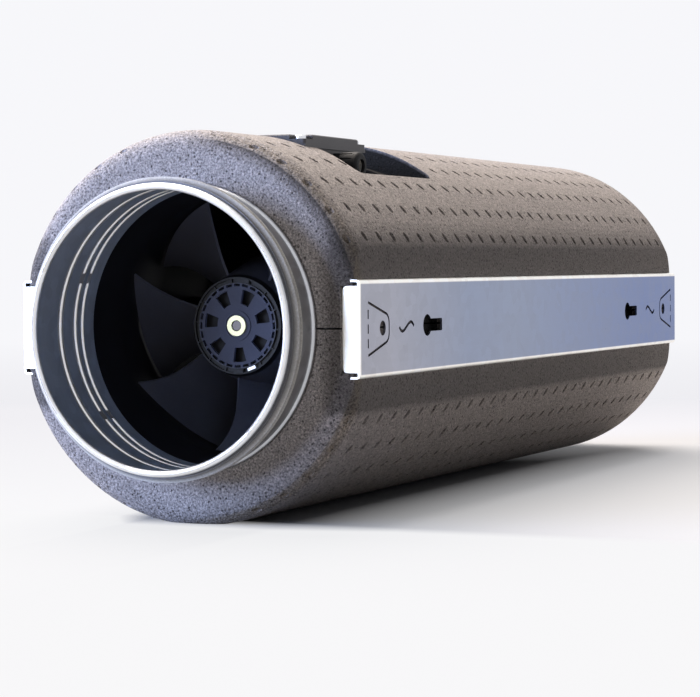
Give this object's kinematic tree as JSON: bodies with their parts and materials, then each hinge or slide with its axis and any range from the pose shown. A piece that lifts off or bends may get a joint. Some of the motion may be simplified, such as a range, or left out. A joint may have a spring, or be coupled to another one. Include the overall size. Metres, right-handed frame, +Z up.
{
  "type": "inline duct fan",
  "caption": "Silenced inline duct fan: long foam body with a steel collar and lip seal at each end, mixed-flow wheel inside, terminal box in a pocket on top and a keyhole rail along each side.",
  "frame": {"origin": "middle of the length, under the fan axis, on the surface that the foot stands on", "axes": "+Y from the inlet to the outlet along the fan axis, +X to the right as seen from the inlet, +Z up"},
  "size_m": [0.2626, 0.829, 0.2737],
  "materials": {
    "foam": "matte",
    "galvanised_steel": "satin",
    "black_rubber": "matte",
    "foam_rubber": "matte",
    "housing_plastic": "satin",
    "wheel_plastic": "satin",
    "lining_fibre": "matte",
    "zinc_steel": "satin",
    "bearing_steel": "polished",
    "brass": "satin",
    "can_steel": "satin",
    "magnet": "matte",
    "lamination": "satin",
    "copper": "gloss",
    "cast_aluminium": "satin",
    "board": "gloss",
    "components": "gloss",
    "box_plastic": "satin",
    "gland_plastic": "satin",
    "terminal_plastic": "satin",
    "knob_plastic": "gloss",
    "earth_brass": "satin"
  },
  "bodies": {
    "casing": {"upper_shell": "foam", "lower_shell": "foam", "inlet_collar": "galvanised_steel", "outlet_collar": "galvanised_steel", "left_rail": "galvanised_steel", "right_rail": "galvanised_steel", "inlet_lip_seal": "black_rubber", "outlet_lip_seal": "black_rubber", "lid_seal": "black_rubber", "gland_seal": "black_rubber", "cable_grommet": "black_rubber", "motor_cable": "black_rubber", "front_isolator": "foam_rubber", "rear_isolator": "foam_rubber", "inlet_cone": "housing_plastic", "vane_housing": "housing_plastic", "tail_cone": "housing_plastic", "silencer_lining": "lining_fibre", "housing_screws": "zinc_steel", "motor_screws": "zinc_steel", "board_screws": "zinc_steel", "lid_screws": "zinc_steel", "box_screws": "zinc_steel", "bearing_outer_rings": "bearing_steel", "preload_spring": "bearing_steel", "terminal_screws": "brass", "stator_core": "lamination", "stator_windings": "copper", "motor_flange": "cast_aluminium", "electronics_pot": "cast_aluminium", "control_board": "board", "board_components": "components", "terminal_box_base": "box_plastic", "terminal_box_lid": "box_plastic", "blanking_plug": "box_plastic", "gland_body": "gland_plastic", "gland_nut": "gland_plastic", "gland_locknuts": "gland_plastic", "terminal_block": "terminal_plastic", "trimmer_body": "terminal_plastic", "earth_terminal": "earth_brass"},
    "rotor": {"fan_wheel": "wheel_plastic", "balance_clip": "zinc_steel", "hub_bush": "brass", "motor_shaft": "bearing_steel", "rotor_can": "can_steel", "rotor_magnets": "magnet", "shaft_circlip": "bearing_steel", "bearing_inner_rings": "bearing_steel"},
    "ball_sets": {"bearing_balls": "bearing_steel", "bearing_cages": "brass"},
    "speed_knob": {"trimmer_knob": "knob_plastic"}
  },
  "joints": [
    {"name": "rotor_spin", "type": "hinge", "parent": "casing", "child": "rotor", "pos_m": [0, 0, 0.13587], "axis": [0, 1, 0], "continuous": true},
    {"name": "ball_set_spin", "type": "hinge", "parent": "casing", "child": "ball_sets", "pos_m": [0, 0, 0.13587], "axis": [0, 1, 0], "continuous": true},
    {"name": "speed_setting", "type": "hinge", "parent": "casing", "child": "speed_knob", "pos_m": [0.012, -0.2645, 0.25587], "axis": [0, 0, 1], "range_deg": [0, 270]}
  ],
  "couplings": [
    {"joint": "ball_set_spin", "follows": "rotor_spin", "ratio": 0.36667}
  ]
}
